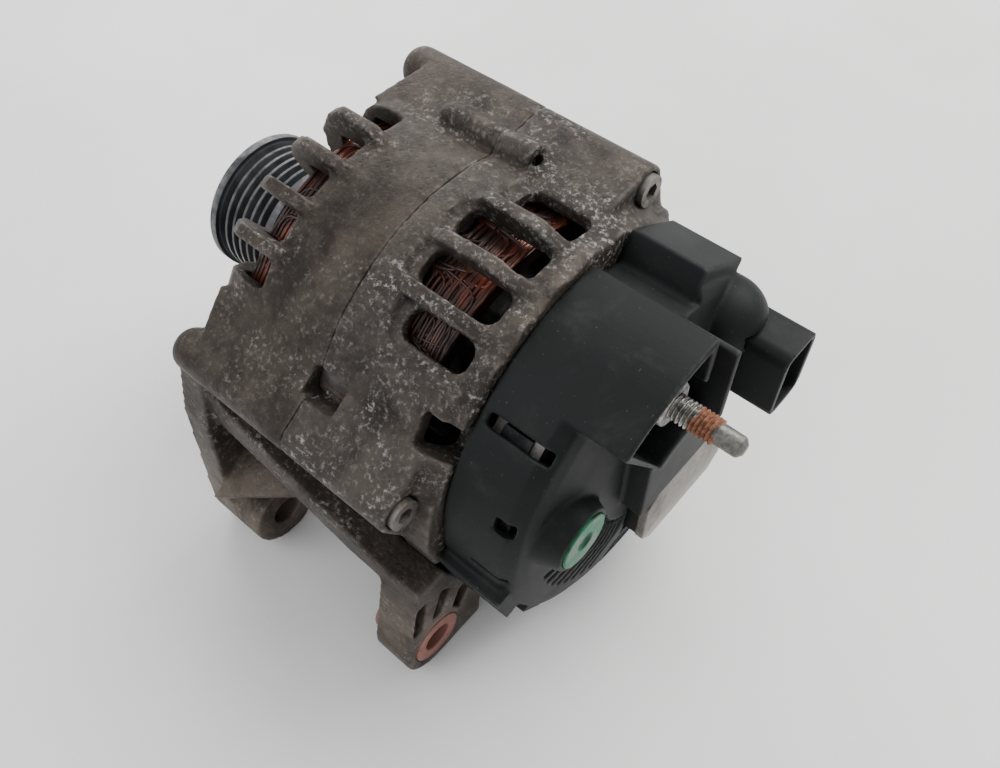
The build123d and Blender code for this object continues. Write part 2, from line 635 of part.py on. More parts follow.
def build():
    """Every piece by its node name."""
    pieces = {
        "drive_end_bracket": drive_end_bracket(),
        "rear_bracket": rear_bracket(),
        "through_bolts": through_bolts(),
        "mount_bushing": mount_bushing(),
        "stator_core": stator_core(),
        "stator_windings": stator_windings(),
        "rotor_shaft": rotor_shaft(),
        "claw_pole_front": claw_pole(True),
        "claw_pole_rear": claw_pole(False),
        "coil_bobbin": coil_bobbin(),
        "field_coil": field_coil(),
        "front_fan": fan(POLE_X[0], -1, 11),
        "rear_fan": fan(POLE_X[1], 1, 9),
        "slip_rings": slip_rings(),
        "slip_ring_sleeve": slip_ring_sleeve(),
        "bearing_retainer": bearing_retainer(),
        "retainer_screws": retainer_screws(),
        "shaft_spacer": shaft_spacer(),
        "pulley": pulley(),
        "pulley_nut": pulley_nut(),
        "rectifier_heatsink_positive": rectifier_heatsink_positive(),
        "rectifier_heatsink_negative": rectifier_heatsink_negative(),
        "diodes_positive": diodes(POSITIVE_X),
        "diodes_negative": diodes(NEGATIVE_X),
        "rectifier_carrier": rectifier_carrier(),
        "rectifier_screws": rectifier_screws(),
        "regulator_housing": regulator_housing(),
        "regulator_plate": regulator_plate(),
        "connector_pins": connector_pins(),
        "brush_a": brush(RING_X[0]),
        "brush_b": brush(RING_X[1]),
        "brush_spring_a": brush_spring(RING_X[0]),
        "brush_spring_b": brush_spring(RING_X[1]),
        "output_stud": stud(),
        "output_nut": stud_nut(),
        "output_washer": ring(151.5, NUT_X[0], 8.5, STUD_R + 0.1, STUD_Y, STUD_Z),
        "output_insulator": ring(POSITIVE_X[1], 151.5, 8.8, STUD_R + 0.05, STUD_Y, STUD_Z),
        "rear_cover": rear_cover(),
        "cover_plug": cover_plug(),
    }
    for end, x0, dims in (("front", FRONT_BEARING_X, FRONT_BEARING), ("rear", REAR_BEARING_X, REAR_BEARING)):
        for name, piece in bearing(x0, dims).items():
            pieces[f"{end}_bearing_{name}"] = piece
    return pieces


if __name__ == "__main__":
    os.makedirs("parts", exist_ok=True)
    for node, piece in build().items():
        export_step(piece, f"parts/{node}.step")
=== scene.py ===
"""Looks of a used car alternator, built round its CAD frame.

Metres, in the CAD's own frame: the shaft is the X axis, the pulley end is at low X, +Z is up.
Angles round the shaft are measured from +Z towards -Y.
"""

import json
import math

import bmesh
import bpy
from mathutils import Matrix, Vector, noise

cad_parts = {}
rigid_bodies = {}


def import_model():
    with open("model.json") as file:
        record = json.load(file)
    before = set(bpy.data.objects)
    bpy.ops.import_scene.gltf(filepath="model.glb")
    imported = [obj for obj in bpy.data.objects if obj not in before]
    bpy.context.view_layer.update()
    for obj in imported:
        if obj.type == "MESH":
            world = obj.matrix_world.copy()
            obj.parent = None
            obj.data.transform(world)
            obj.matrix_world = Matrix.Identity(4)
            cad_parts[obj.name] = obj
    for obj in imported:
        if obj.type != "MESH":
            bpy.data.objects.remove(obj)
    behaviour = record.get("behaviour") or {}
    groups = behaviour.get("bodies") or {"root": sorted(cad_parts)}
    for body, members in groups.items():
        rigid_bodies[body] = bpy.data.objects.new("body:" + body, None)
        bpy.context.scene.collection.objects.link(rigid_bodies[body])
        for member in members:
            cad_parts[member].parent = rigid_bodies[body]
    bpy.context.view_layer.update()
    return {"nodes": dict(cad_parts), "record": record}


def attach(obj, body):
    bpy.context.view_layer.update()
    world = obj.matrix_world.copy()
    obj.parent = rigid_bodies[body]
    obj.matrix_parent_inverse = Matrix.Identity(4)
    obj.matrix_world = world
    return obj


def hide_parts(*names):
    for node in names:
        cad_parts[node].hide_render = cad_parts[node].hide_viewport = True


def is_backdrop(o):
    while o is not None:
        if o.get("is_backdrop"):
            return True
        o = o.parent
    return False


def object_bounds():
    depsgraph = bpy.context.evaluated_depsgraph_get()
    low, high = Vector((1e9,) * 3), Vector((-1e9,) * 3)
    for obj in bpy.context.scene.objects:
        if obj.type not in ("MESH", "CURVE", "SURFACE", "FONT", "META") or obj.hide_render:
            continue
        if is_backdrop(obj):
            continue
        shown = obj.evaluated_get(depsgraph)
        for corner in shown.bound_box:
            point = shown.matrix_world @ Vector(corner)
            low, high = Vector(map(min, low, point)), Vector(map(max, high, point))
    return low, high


for leftover in list(bpy.data.objects):
    bpy.data.objects.remove(leftover)
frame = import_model()

MM = 0.001
TAU = 2 * math.pi


# ---------------------------------------------------------------- mesh helpers
def mesh_object(name, vertices, faces, body, smooth_below=40):
    """Mesh piece with its place in its mesh, shaded smooth up to an angle in degrees."""
    mesh = bpy.data.meshes.new(name)
    mesh.from_pydata(vertices, [], faces)
    mesh.update()
    return finish_piece(bpy.data.objects.new(name, mesh), body, smooth_below)


def finish_piece(obj, body, smooth_below=40):
    bpy.context.scene.collection.objects.link(obj)
    obj.data.shade_smooth()
    obj.data.set_sharp_from_angle(angle=math.radians(smooth_below))
    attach(obj, body)
    return obj


def baked(obj):
    """The object's mesh with its modifiers applied, as a plain mesh."""
    graph = bpy.context.evaluated_depsgraph_get()
    return bpy.data.meshes.new_from_object(obj.evaluated_get(graph))


def lathe(name, profile, body, y=0.0, z=0.0, segments=96, closed=True, smooth_below=40):
    """Piece turned about an axis along X, from (x, radius) points in millimetres."""
    vertices, faces = [], []
    for x, r in profile:
        for i in range(segments):
            a = TAU * i / segments
            vertices.append((x * MM, y + r * MM * math.sin(a), z + r * MM * math.cos(a)))
    rows = len(profile)
    for j in range(rows if closed else rows - 1):
        k = (j + 1) % rows
        for i in range(segments):
            n = (i + 1) % segments
            faces.append((j * segments + i, j * segments + n, k * segments + n, k * segments + i))
    if not closed:
        faces.append(tuple(range(segments - 1, -1, -1)))
        faces.append(tuple(range((rows - 1) * segments, rows * segments)))
    obj = mesh_object(name, vertices, faces, body, smooth_below)
    recalculate(obj.data)
    return obj


def recalculate(mesh):
    """Joins doubled corners and turns every face outwards."""
    work = bmesh.new()
    work.from_mesh(mesh)
    bmesh.ops.remove_doubles(work, verts=work.verts, dist=1e-6)
    bmesh.ops.recalc_face_normals(work, faces=work.faces)
    work.to_mesh(mesh)
    work.free()


def softened(node, name, body, voxel, rounds, roughness, keep=0.5, grain=55.0):
    """A copy of a CAD node with its edges rounded and its surface slightly uneven, as cast or moulded."""
    mesh = frame["nodes"][node].data.copy()
    mesh.materials.clear()
    obj = bpy.data.objects.new(name, mesh)
    bpy.context.scene.collection.objects.link(obj)
    weld = obj.modifiers.new("weld", "WELD")
    weld.merge_threshold = 1e-6
    remesh = obj.modifiers.new("remesh", "REMESH")
    remesh.mode = "VOXEL"
    remesh.voxel_size = voxel
    soft = obj.modifiers.new("soft", "SMOOTH")
    soft.factor = 0.5
    soft.iterations = rounds
    thin = obj.modifiers.new("thin", "DECIMATE")
    thin.ratio = keep
    result = baked(obj)
    bpy.data.objects.remove(obj)
    normals = [vertex.normal.copy() for vertex in result.vertices]
    places = []
    for vertex, normal in zip(result.vertices, normals):
        lift = noise.noise(vertex.co * grain) + 0.5 * noise.noise(vertex.co * grain * 3.1)
        places.extend(vertex.co + normal * (lift * roughness))
    result.vertices.foreach_set("co", places)
    result.update()
    piece = bpy.data.objects.new(name, result)
    piece = finish_piece(piece, body, 180)
    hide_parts(node)
    return piece


# ---------------------------------------------------------------- shader helpers
def shader_node(tree, kind, inputs=None, **settings):
    node = tree.nodes.new(kind)
    for key, value in settings.items():
        setattr(node, key, value)
    for key, value in (inputs or {}).items():
        socket = node.inputs[key]
        if isinstance(value, bpy.types.NodeSocket):
            tree.links.new(value, socket)
        else:
            socket.default_value = value
    return node


def noise_field(tree, vector, scale, detail=4.0, roughness=0.55, distortion=0.0):
    node = shader_node(tree, "ShaderNodeTexNoise", {"Vector": vector, "Scale": scale, "Detail": detail,
                                                    "Roughness": roughness, "Distortion": distortion})
    return node.outputs["Fac"]


def remap(tree, value, low, high, to_low=0.0, to_high=1.0, smooth=True):
    kind = "SMOOTHSTEP" if smooth else "LINEAR"
    node = shader_node(tree, "ShaderNodeMapRange", {0: value, 1: low, 2: high, 3: to_low, 4: to_high},
                       interpolation_type=kind)
    return node.outputs[0]


def maths(tree, operation, a, b=0.0, clamp=False):
    node = shader_node(tree, "ShaderNodeMath", {0: a, 1: b}, operation=operation, use_clamp=clamp)
    return node.outputs[0]


def blend_color(tree, factor, low, high):
    node = shader_node(tree, "ShaderNodeMix", {0: factor}, data_type="RGBA")
    for socket, value in ((node.inputs[6], low), (node.inputs[7], high)):
        if isinstance(value, bpy.types.NodeSocket):
            tree.links.new(value, socket)
        else:
            socket.default_value = (*value, 1.0)
    return node.outputs[2]


def effect_group(name, inputs, outputs, build):
    """Shader node group with named sockets; build(tree, ins) returns a dict of output sockets."""
    tree = bpy.data.node_groups.new(name, "ShaderNodeTree")
    for label, kind, default in inputs:
        socket = tree.interface.new_socket(label, in_out="INPUT", socket_type=kind)
        if kind != "NodeSocketVector":
            socket.default_value = default
    for label, kind in outputs:
        tree.interface.new_socket(label, in_out="OUTPUT", socket_type=kind)
    inlet = tree.nodes.new("NodeGroupInput")
    outlet = tree.nodes.new("NodeGroupOutput")
    for label, socket in build(tree, inlet.outputs).items():
        tree.links.new(socket, outlet.inputs[label])
    return tree


def place_group(tree, group, **inputs):
    node = tree.nodes.new("ShaderNodeGroup")
    node.node_tree = group
    for key, value in inputs.items():
        socket = node.inputs[key.replace("_", " ")]
        if isinstance(value, bpy.types.NodeSocket):
            tree.links.new(value, socket)
        else:
            socket.default_value = value
    return node.outputs


# ---------------------------------------------------------------- shared effects
def worn_edge(tree, ins):
    """Mask of exposed edges, broken up by noise."""
    point = shader_node(tree, "ShaderNodeNewGeometry").outputs["Pointiness"]
    edge = shader_node(tree, "ShaderNodeMapRange",
                       {0: point, 1: ins["Start"], 2: ins["Full"], 3: 0.0, 4: 1.0}).outputs[0]
    patchy = remap(tree, noise_field(tree, ins["Vector"], ins["Patch Scale"], 5.0, 0.65), 0.35, 0.62)
    return {"Mask": maths(tree, "MULTIPLY", edge, patchy, True)}


def hollow_and_stain_darkening(tree, ins):
    """Mask that darkens the hollows, found by their pointiness, and broad dirt stains."""
    point = shader_node(tree, "ShaderNodeNewGeometry").outputs["Pointiness"]
    # hollows, found by pointiness, are darkened
    hollow = remap(tree, point, 0.50, 0.44)
    stain = remap(tree, noise_field(tree, ins["Vector"], ins["Stain Scale"], 6.0, 0.62, 0.4), 0.46, 0.66)
    both = maths(tree, "MAXIMUM", hollow, maths(tree, "MULTIPLY", stain, ins["Stain Amount"]))
    return {"Mask": maths(tree, "MULTIPLY", both, ins["Amount"], True)}


def oxide_bloom(tree, ins):
    """Mask of white corrosion specks, thick in patches."""
    patch = remap(tree, noise_field(tree, ins["Vector"], ins["Patch Scale"], 5.0, 0.6, 0.6), 0.44, 0.68)
    speck = remap(tree, noise_field(tree, ins["Vector"], ins["Speck Scale"], 8.0, 0.75), 0.50, 0.66)
    amount = maths(tree, "MULTIPLY", ins["Amount"], maths(tree, "ADD", patch, 0.12))
    return {"Mask": maths(tree, "MULTIPLY", speck, amount, True)}


def cast_grain(tree, ins):
    """Height of a sand-cast surface: fine grain and pits."""
    fine = noise_field(tree, ins["Vector"], ins["Grain Scale"], 6.0, 0.7)
    pits = shader_node(tree, "ShaderNodeTexVoronoi", {"Vector": ins["Vector"], "Scale": ins["Pit Scale"]})
    pit = remap(tree, pits.outputs["Distance"], 0.0, 0.35)
    fine, pit = maths(tree, "MULTIPLY", fine, 0.7), maths(tree, "MULTIPLY", pit, 0.3)
    return {"Height": maths(tree, "ADD", fine, pit)}


VECTOR, VALUE = "NodeSocketVector", "NodeSocketFloat"
WORN_EDGE = effect_group("worn_edge", (("Vector", VECTOR, None), ("Start", VALUE, 0.52), ("Full", VALUE, 0.6),
                                       ("Patch Scale", VALUE, 120.0)), (("Mask", VALUE),), worn_edge)
HOLLOW_AND_STAIN_DARKENING = effect_group("hollow_and_stain_darkening", (("Vector", VECTOR, None), ("Stain Scale", VALUE, 40.0),
                                      ("Stain Amount", VALUE, 0.6), ("Amount", VALUE, 0.8)),
                     (("Mask", VALUE),), hollow_and_stain_darkening)
OXIDE = effect_group("oxide_bloom", (("Vector", VECTOR, None), ("Patch Scale", VALUE, 45.0),
                                     ("Speck Scale", VALUE, 700.0), ("Amount", VALUE, 0.8)),
                     (("Mask", VALUE),), oxide_bloom)
GRAIN = effect_group("cast_grain", (("Vector", VECTOR, None), ("Grain Scale", VALUE, 900.0),
                                    ("Pit Scale", VALUE, 500.0)), (("Height", VALUE),), cast_grain)


def new_material(name):
    """Material with its tree, its Principled shader and its Object coordinates."""
    material = bpy.data.materials.new(name)
    material.use_nodes = True
    tree = material.node_tree
    shader = tree.nodes["Principled BSDF"]
    vector = shader_node(tree, "ShaderNodeTexCoord").outputs["Object"]
    return material, tree, shader, vector


def bump(tree, shader, height, distance, strength=1.0):
    node = shader_node(tree, "ShaderNodeBump", {"Height": height, "Distance": distance, "Strength": strength})
    tree.links.new(node.outputs[0], shader.inputs["Normal"])


def cast_aluminium(name, light, dark, oxide, oxide_color=(0.62, 0.60, 0.57)):
    material, tree, shader, vector = new_material(name)
    tone = remap(tree, noise_field(tree, vector, 28.0, 6.0, 0.6, 0.5), 0.34, 0.66)
    base = blend_color(tree, tone, dark, light)
    mottle = remap(tree, noise_field(tree, vector, 260.0, 5.0, 0.7), 0.38, 0.66, 0.0, 0.45)
    base = blend_color(tree, mottle, base, tuple(c * 1.35 for c in light))
    # the ears sit low; the colour is made lighter towards the bottom, from 22 mm below the shaft downwards
    up = shader_node(tree, "ShaderNodeSeparateXYZ", {0: vector}).outputs[2]
    lower_lightening = remap(tree, up, -0.022, -0.046, 0.0, 0.7)
    base = blend_color(tree, lower_lightening, base, tuple(c * 2.6 for c in light))
    # darker in the hollows, found by pointiness, and in broad dirt stains
    hollow_and_stain_dark = place_group(tree, HOLLOW_AND_STAIN_DARKENING, Vector=vector, Stain_Scale=30.0, Stain_Amount=0.75, Amount=0.92)["Mask"]
    base = blend_color(tree, hollow_and_stain_dark, base, tuple(c * 0.38 for c in dark))
    edge = place_group(tree, WORN_EDGE, Vector=vector, Start=0.515, Full=0.585, Patch_Scale=160.0)["Mask"]
    base = blend_color(tree, maths(tree, "MULTIPLY", edge, 0.5), base, (0.24, 0.225, 0.205))
    bloom = place_group(tree, OXIDE, Vector=vector, Patch_Scale=38.0, Speck_Scale=620.0, Amount=oxide)["Mask"]
    base = blend_color(tree, bloom, base, oxide_color)
    tree.links.new(base, shader.inputs["Base Color"])
    rough = remap(tree, maths(tree, "ADD", bloom, maths(tree, "MULTIPLY", hollow_and_stain_dark, 0.6)), 0.0, 1.0, 0.50, 0.85)
    tree.links.new(rough, shader.inputs["Roughness"])
    tree.links.new(remap(tree, bloom, 0.0, 0.6, 0.45, 0.0), shader.inputs["Metallic"])
    shader.inputs["Specular IOR Level"].default_value = 0.25
    grain = place_group(tree, GRAIN, Vector=vector, Grain_Scale=800.0, Pit_Scale=420.0)["Height"]
    height = maths(tree, "ADD", grain, maths(tree, "MULTIPLY", bloom, 0.5))
    bump(tree, shader, height, 0.0004, 0.9)
    return material


def moulded_plastic(name, color, roughness=0.46, dust=0.16):
    material, tree, shader, vector = new_material(name)
    cloud = remap(tree, noise_field(tree, vector, 24.0, 5.0, 0.6, 0.3), 0.35, 0.7)
    base = blend_color(tree, cloud, tuple(c * 0.8 for c in color), tuple(c * 1.25 for c in color))
    film = remap(tree, noise_field(tree, vector, 60.0, 7.0, 0.68, 0.5), 0.5, 0.78, 0.0, dust)
    base = blend_color(tree, film, base, (0.080, 0.079, 0.072))
    fleck = remap(tree, noise_field(tree, vector, 900.0, 2.0, 0.5), 0.70, 0.76, 0.0, 0.6 * dust)
    base = blend_color(tree, fleck, base, (0.30, 0.29, 0.26))
    edge = place_group(tree, WORN_EDGE, Vector=vector, Start=0.52, Full=0.62, Patch_Scale=90.0)["Mask"]
    base = blend_color(tree, maths(tree, "MULTIPLY", edge, 0.35), base, (0.15, 0.155, 0.155))
    tree.links.new(base, shader.inputs["Base Color"])
    rough = remap(tree, maths(tree, "ADD", film, maths(tree, "MULTIPLY", cloud, 0.25)), 0.0, 0.6,
                  roughness, roughness + 0.25)
    tree.links.new(rough, shader.inputs["Roughness"])
    shader.inputs["Specular IOR Level"].default_value = 0.17
    bump(tree, shader, noise_field(tree, vector, 1500.0, 3.0, 0.6), 0.00006, 0.6)
    return material


def enamelled_copper(name, dark, bright):
    """Varnished winding wire: each strand has its own shade, read from the strand attribute."""
    material, tree, shader, vector = new_material(name)
    strand = shader_node(tree, "ShaderNodeAttribute", attribute_name="strand").outputs["Fac"]
    patch = remap(tree, noise_field(tree, vector, 55.0, 4.0, 0.6), 0.38, 0.62)
    mix = maths(tree, "MULTIPLY", strand, patch)
    base = blend_color(tree, mix, dark, bright)
    soot = remap(tree, noise_field(tree, vector, 120.0, 5.0, 0.65), 0.48, 0.7, 0.0, 0.85)
    base = blend_color(tree, soot, base, (0.012, 0.010, 0.009))
    tree.links.new(base, shader.inputs["Base Color"])
    shader.inputs["Metallic"].default_value = 0.35
    tree.links.new(remap(tree, soot, 0.0, 0.85, 0.28, 0.75), shader.inputs["Roughness"])
    bump(tree, shader, noise_field(tree, vector, 2200.0, 2.0, 0.5), 0.00004, 0.4)
    return material


def worn_steel(name, clean, stained, rust_amount, roughness=0.35, metallic=0.9):
    """Steel with stains: clean metal, darker oxide and rust in patches."""
    material, tree, shader, vector = new_material(name)
    tone = remap(tree, noise_field(tree, vector, 150.0, 6.0, 0.65, 0.3), 0.36, 0.66)
    base = blend_color(tree, tone, clean, stained)
    rust = remap(tree, noise_field(tree, vector, 210.0, 7.0, 0.7, 0.8), 0.60 - 0.25 * rust_amount, 0.72)
    grain = noise_field(tree, vector, 700.0, 4.0, 0.6)
    red = blend_color(tree, grain, (0.16, 0.045, 0.018), (0.36, 0.13, 0.06))
    base = blend_color(tree, maths(tree, "MULTIPLY", rust, rust_amount, True), base, red)
    tree.links.new(base, shader.inputs["Base Color"])
    dull = maths(tree, "MULTIPLY", rust, rust_amount, True)
    tree.links.new(remap(tree, dull, 0.0, 1.0, metallic, 0.05), shader.inputs["Metallic"])
    tree.links.new(remap(tree, maths(tree, "ADD", dull, maths(tree, "MULTIPLY", tone, 0.3)), 0.0, 1.0,
                         roughness, 0.85), shader.inputs["Roughness"])
    bump(tree, shader, noise_field(tree, vector, 900.0, 6.0, 0.7), 0.00012, 0.7)
    return material


def painted_steel(name, color):
    material, tree, shader, vector = new_material(name)
    cloud = remap(tree, noise_field(tree, vector, 90.0, 6.0, 0.65), 0.36, 0.66)
    base = blend_color(tree, cloud, color, tuple(c * 1.9 for c in color))
    edge = place_group(tree, WORN_EDGE, Vector=vector, Start=0.55, Full=0.66, Patch_Scale=200.0)["Mask"]
    base = blend_color(tree, edge, base, (0.27, 0.265, 0.26))
    tree.links.new(base, shader.inputs["Base Color"])
    tree.links.new(remap(tree, cloud, 0.0, 1.0, 0.38, 0.6), shader.inputs["Roughness"])
    tree.links.new(remap(tree, edge, 0.0, 1.0, 0.25, 0.9), shader.inputs["Metallic"])
    bump(tree, shader, noise_field(tree, vector, 1100.0, 5.0, 0.65), 0.00008, 0.6)
    return material


def corroded_zinc(name):
    """Zinc-plated steel gone white and furry."""
    material, tree, shader, vector = new_material(name)
    cloud = noise_field(tree, vector, 420.0, 8.0, 0.75, 0.6)
    base = blend_color(tree, remap(tree, cloud, 0.35, 0.64), (0.10, 0.095, 0.09), (0.62, 0.61, 0.58))
    tree.links.new(base, shader.inputs["Base Color"])
    tree.links.new(remap(tree, cloud, 0.4, 0.6, 0.6, 0.05), shader.inputs["Metallic"])
    tree.links.new(remap(tree, cloud, 0.3, 0.7, 0.45, 0.9), shader.inputs["Roughness"])
    bump(tree, shader, cloud, 0.0005, 0.9)
    return material


def stud_steel(name):
    """Stud: bright thread near the nut, rust towards the end, dull grey tip."""
    material, tree, shader, vector = new_material(name)
    along = shader_node(tree, "ShaderNodeSeparateXYZ", {0: vector}).outputs[0]
    uneven = maths(tree, "SUBTRACT", noise_field(tree, vector, 260.0, 3.0), 0.5)
    uneven = maths(tree, "MULTIPLY", uneven, 0.006)
    along = maths(tree, "ADD", along, uneven)
    rust = maths(tree, "MULTIPLY", remap(tree, along, 0.1645, 0.1660), remap(tree, along, 0.1730, 0.1718))
    cloud = noise_field(tree, vector, 700.0, 6.0, 0.7)
    grey = blend_color(tree, remap(tree, cloud, 0.35, 0.65), (0.12, 0.11, 0.10), (0.46, 0.45, 0.42))
    red = blend_color(tree, remap(tree, cloud, 0.35, 0.65), (0.10, 0.035, 0.018), (0.34, 0.14, 0.07))
    base = blend_color(tree, rust, grey, red)
    tip = remap(tree, along, 0.1716, 0.1728, 0.0, 0.75)
    base = blend_color(tree, tip, base, (0.085, 0.080, 0.070))
    tree.links.new(base, shader.inputs["Base Color"])
    dull = maths(tree, "MAXIMUM", rust, maths(tree, "MULTIPLY", tip, 0.5))
    tree.links.new(remap(tree, dull, 0.0, 1.0, 0.9, 0.1), shader.inputs["Metallic"])
    tree.links.new(remap(tree, dull, 0.0, 1.0, 0.32, 0.8), shader.inputs["Roughness"])
    bump(tree, shader, cloud, 0.0002, 0.6)
    return material


def clear_green(name):
    material, tree, shader, vector = new_material(name)
    cloud = remap(tree, noise_field(tree, vector, 180.0, 4.0, 0.6), 0.35, 0.68)
    base = blend_color(tree, cloud, (0.001, 0.055, 0.020), (0.003, 0.16, 0.065))
    speck = remap(tree, noise_field(tree, vector, 1300.0, 3.0, 0.6), 0.62, 0.72, 0.0, 0.5)
    base = blend_color(tree, speck, base, (0.05, 0.10, 0.06))
    tree.links.new(base, shader.inputs["Base Color"])
    tree.links.new(remap(tree, cloud, 0.0, 1.0, 0.30, 0.5), shader.inputs["Roughness"])
    shader.inputs["Specular IOR Level"].default_value = 0.35
    bump(tree, shader, noise_field(tree, vector, 800.0, 3.0, 0.5), 0.00004, 0.5)
    return material


def pale_floor(name):
    material, tree, shader, vector = new_material(name)
    cloud = remap(tree, noise_field(tree, vector, 5.0, 5.0, 0.6), 0.3, 0.7)
    base = blend_color(tree, cloud, (0.72, 0.71, 0.69), (0.80, 0.79, 0.775))
    tree.links.new(base, shader.inputs["Base Color"])
    shader.inputs["Roughness"].default_value = 0.55
    bump(tree, shader, noise_field(tree, vector, 40.0, 6.0, 0.6), 0.0006, 0.3)
    return material


FINISHES = {
    "aged_aluminium": cast_aluminium("front_casting", (0.058, 0.046, 0.035), (0.022, 0.017, 0.013), 0.34),
    "rear_casting": cast_aluminium("rear_casting", (0.064, 0.053, 0.042), (0.022, 0.018, 0.015), 0.62),
    "black_plastic": moulded_plastic("cover_plastic", (0.0060, 0.0074, 0.0070), 0.52),
    "natural_plastic": moulded_plastic("carrier_plastic", (0.30, 0.26, 0.18), 0.5),
    "green_plastic": clear_green("plug_green"),
    "copper": enamelled_copper("winding_copper", (0.030, 0.014, 0.010), (0.24, 0.062, 0.036)),
    "steel": worn_steel("machined_steel", (0.42, 0.41, 0.39), (0.22, 0.20, 0.18), 0.15),
    "dark_steel": painted_steel("pulley_black", (0.018, 0.019, 0.021)),
    "laminated_steel": worn_steel("core_steel", (0.16, 0.155, 0.15), (0.08, 0.07, 0.06), 0.4, 0.55, 0.6),
    "carbon": moulded_plastic("brush_carbon", (0.03, 0.03, 0.03), 0.6, 0.1),
    "brass": worn_steel("pin_brass", (0.60, 0.42, 0.18), (0.36, 0.22, 0.10), 0.0, 0.3, 1.0),
    "rubber": moulded_plastic("seal_rubber", (0.02, 0.02, 0.02), 0.6, 0.2),
    "rusty_steel": worn_steel("bushing_rust", (0.30, 0.14, 0.12), (0.22, 0.11, 0.09), 0.9, 0.5, 0.4),
    "plated_steel": worn_steel("plated_steel", (0.20, 0.19, 0.17), (0.07, 0.062, 0.053), 0.35, 0.5, 0.7),
    "corroded_zinc": corroded_zinc("corroded_zinc"),
    "stud_steel": stud_steel("stud_steel"),
    # darker copy of the winding copper: painted shade for the wire behind the outer layers
    "packed_copper_painted_shade": enamelled_copper("packed_copper_painted_shade", (0.020, 0.011, 0.009), (0.05, 0.02, 0.014)),
    "plate_aluminium": cast_aluminium("plate_aluminium", (0.24, 0.225, 0.20), (0.17, 0.155, 0.135), 0.25),
}


def finish_nodes():
    """Gives each carried-over CAD node the finish of its slot."""
    for part in frame["record"]["subparts"]:
        obj = frame["nodes"][part["node"]]
        material = FINISHES[part["material_slot"]]
        for slot in obj.material_slots:
            slot.material = material


def wear(obj, finish):
    obj.data.materials.clear()
    obj.data.materials.append(FINISHES[finish])
    return obj


finish_nodes()


# ---------------------------------------------------------------- castings and cover
wear(softened("drive_end_bracket", "front_casting", "housing", 0.00075, 4, 0.00018, 0.5), "aged_aluminium")
wear(softened("rear_bracket", "rear_casting", "housing", 0.00075, 4, 0.00018, 0.5),
     "rear_casting")
wear(softened("rear_cover", "cover_moulding", "housing", 0.0006, 2, 0.00004, 0.5), "black_plastic")
wear(softened("regulator_housing", "socket_moulding", "housing", 0.0005, 2, 0.00004, 0.6), "black_plastic")
wear(softened("cover_plug", "plug_moulding", "housing", 0.0003, 3, 0.00002, 0.7), "green_plastic")
wear(softened("mount_bushing", "bushing_rusted", "mount_bushing", 0.0003, 3, 0.00010, 0.6), "rusty_steel")
wear(softened("output_nut", "nut_corroded", "housing", 0.00025, 3, 0.00016, 0.9),
     "corroded_zinc")
wear(softened("regulator_plate", "plate_worn", "housing", 0.0003, 2, 0.00003, 0.5), "plate_aluminium")


# ---------------------------------------------------------------- output stud
THREAD_START, THREAD_END, THREAD_PITCH, THREAD_R = 159.1, 171.8, 1.25, 3.93
STUD_Y, STUD_Z = -5.7, 36.5


def threaded_stud():
    """Stud with a real helical thread, a smooth pilot tip and its round head inside the cover."""
    around_count, step = 48, 0.125
    count = int((THREAD_END - THREAD_START) / step) + 1
    rows = [(134.2, 0.0), (134.2, 6.0), (141.8, 6.0), (141.8, 3.55), (THREAD_START, 3.55)]
    rows += [(THREAD_START + i * step, None) for i in range(count)]
    rows += [(171.95, 3.2), (172.2, 3.06), (178.2, 3.04), (178.9, 2.85), (179.9, 1.6), (179.95, 0.0)]
    vertices, faces = [], []
    for x, radius in rows:
        for i in range(around_count):
            a = TAU * i / around_count
            r = radius
            if r is None:
                phase = (x / THREAD_PITCH - i / around_count) % 1.0
                dent = abs(2 * phase - 1)
                fade = min(1.0, (x - THREAD_START) / 0.6, (THREAD_END - x) / 0.9)
                worn = 0.06 * noise.noise(Vector((x * 0.9, math.cos(a) * 2, math.sin(a) * 2)))
                r = THREAD_R - 0.62 * min(1.0, max(0.0, dent * 1.35 - 0.2)) - 0.1 * (1 - fade) - abs(worn)
            vertices.append((x * MM, (STUD_Y + r * math.sin(a)) * MM, (STUD_Z + r * math.cos(a)) * MM))
    for j in range(len(rows) - 1):
        for i in range(around_count):
            n = (i + 1) % around_count
            faces.append((j * around_count + i, j * around_count + n,
                          (j + 1) * around_count + n, (j + 1) * around_count + i))
    obj = mesh_object("stud_threaded", vertices, faces, "housing", 50)
    recalculate(obj.data)
    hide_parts("output_stud")
    return obj


wear(threaded_stud(), "stud_steel")


# ---------------------------------------------------------------- stator winding
def gn_node(tree, kind, inputs=None, **settings):
    node = tree.nodes.new(kind)
    for key, value in settings.items():
        setattr(node, key, value)
    for key, value in (inputs or {}).items():
        socket = node.inputs[key]
        if isinstance(value, bpy.types.NodeSocket):
            tree.links.new(value, socket)
        else:
            socket.default_value = value
    return node


def gn_math(tree, operation, a, b=0.0):
    return gn_node(tree, "ShaderNodeMath", {0: a, 1: b}, operation=operation).outputs[0]


def gn_random(tree, low, high, seed):
    node = gn_node(tree, "FunctionNodeRandomValue", data_type="FLOAT")
    for socket, value in zip((node.inputs[2], node.inputs[3]), (low, high)):
        if isinstance(value, bpy.types.NodeSocket):
            tree.links.new(value, socket)
        else:
            socket.default_value = value
    node.inputs["Seed"].default_value = seed
    return node.outputs[1]


WIRE_INPUTS = (("Slots", "NodeSocketInt", 36), ("Layers", "NodeSocketInt", 10),
               ("Face X", "NodeSocketFloat", 0.088), ("Reach", "NodeSocketFloat", 0.0185),
               ("Direction", "NodeSocketFloat", 1.0), ("Radius", "NodeSocketFloat", 0.054),
               ("Spread", "NodeSocketFloat", 0.0016), ("Wire", "NodeSocketFloat", 0.00055),
               ("Material", "NodeSocketMaterial", None))


